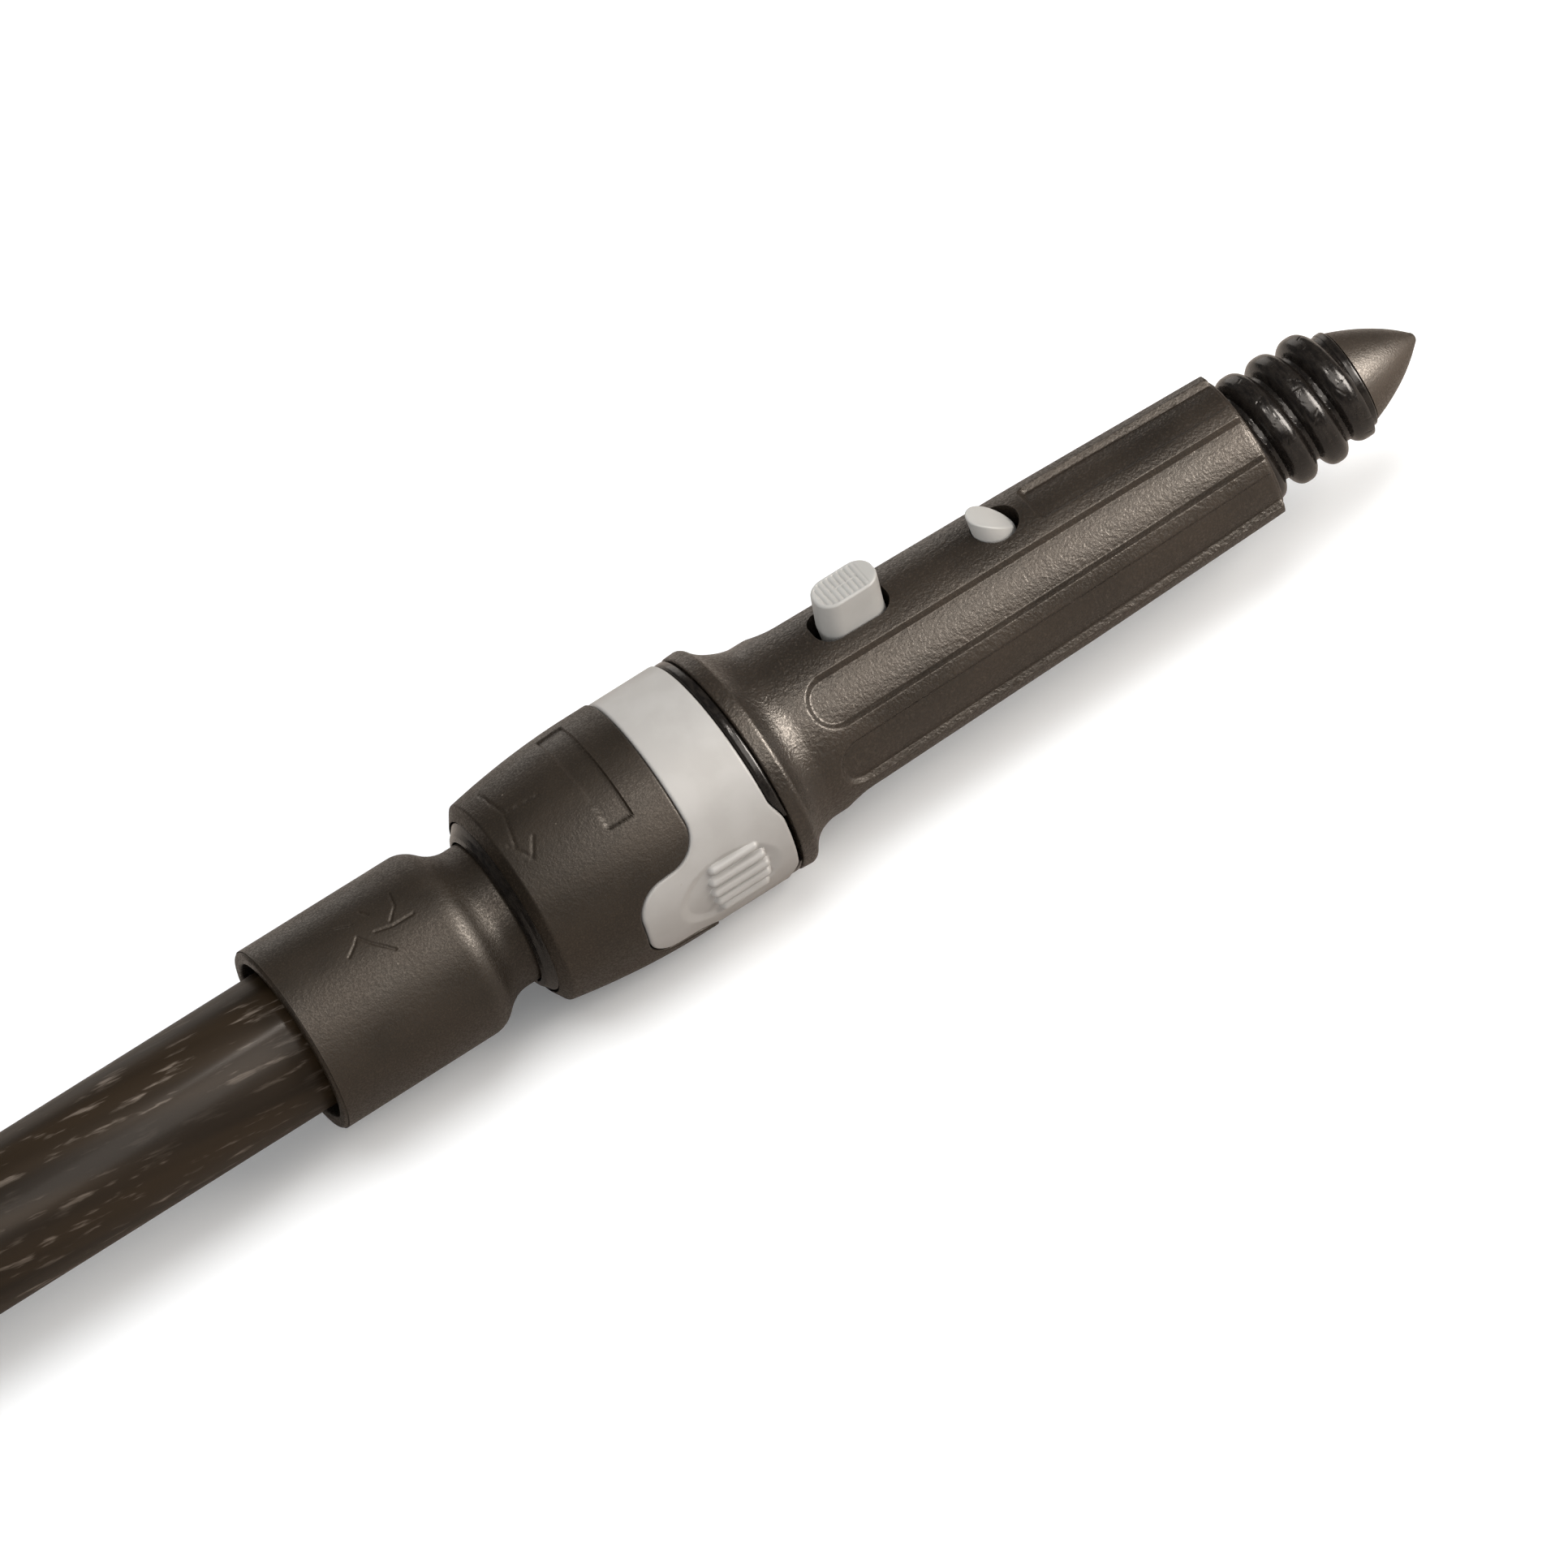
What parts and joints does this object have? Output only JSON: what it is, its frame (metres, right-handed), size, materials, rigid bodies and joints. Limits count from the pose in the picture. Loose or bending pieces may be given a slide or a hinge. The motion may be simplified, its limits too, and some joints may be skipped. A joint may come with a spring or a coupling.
{
  "type": "window cleaning pole",
  "caption": "Top end of a window cleaning pole: carbon tube, quick coupling with a grey release ring, and a fluted locking cone with thumb button, spring latch and threaded pointed tip.",
  "frame": {"origin": "centre of the lower end face of the tube's end plug, on the pole's axis", "axes": "+X along the pole towards the nose; +Z out through the thumb button; the release pad faces nearly -Y"},
  "size_m": [0.33, 0.0369, 0.0373],
  "materials": {
    "carbon_tube": "clear-coated carbon fibre with lengthwise silvery streaks",
    "black_plastic": "fine spark-eroded grain",
    "gloss_black_plastic": "smooth gloss",
    "grey_plastic": "smooth satin",
    "black_rubber": "matte",
    "steel": "bright"
  },
  "bodies": {
    "pole": {"pole_tube": "carbon_tube", "tube_end_plug": "black_plastic", "coupling_sleeve": "black_plastic", "sleeve_liner": "gloss_black_plastic", "front_o_ring": "black_rubber", "rear_o_ring": "black_rubber"},
    "head": {"nose_cone": "black_plastic", "threaded_tip": "gloss_black_plastic", "tip_screw": "steel", "cone_body": "black_plastic", "latch_pivot_pin": "steel", "latch_spring": "steel", "coupling_socket": "gloss_black_plastic", "flange_washer": "gloss_black_plastic", "ring_return_spring": "steel", "collar_barrel": "black_plastic", "collar_mouth_ring": "gloss_black_plastic"},
    "latch": {"latch_lever": "black_plastic", "thumb_button": "grey_plastic", "latch_pawl": "grey_plastic"},
    "ring": {"release_ring": "grey_plastic", "ring_tooth": "steel"}
  },
  "joints": [
    {"name": "head_pull", "type": "slide", "parent": "pole", "child": "head", "axis": [1, 0, 0], "range_m": [0, 0.045]},
    {"name": "latch_press", "type": "hinge", "parent": "head", "child": "latch", "pos_m": [0.2175, 0, 0.0096], "axis": [0, 1, 0], "range_deg": [0, 5], "stiffness_Nm_per_rad": 0.6, "deforming": ["latch_spring"]},
    {"name": "ring_press", "type": "slide", "parent": "head", "child": "ring", "axis": [0, 0.989, 0.1478], "range_m": [0, 0.0015], "stiffness_N_per_m": 4000}
  ]
}
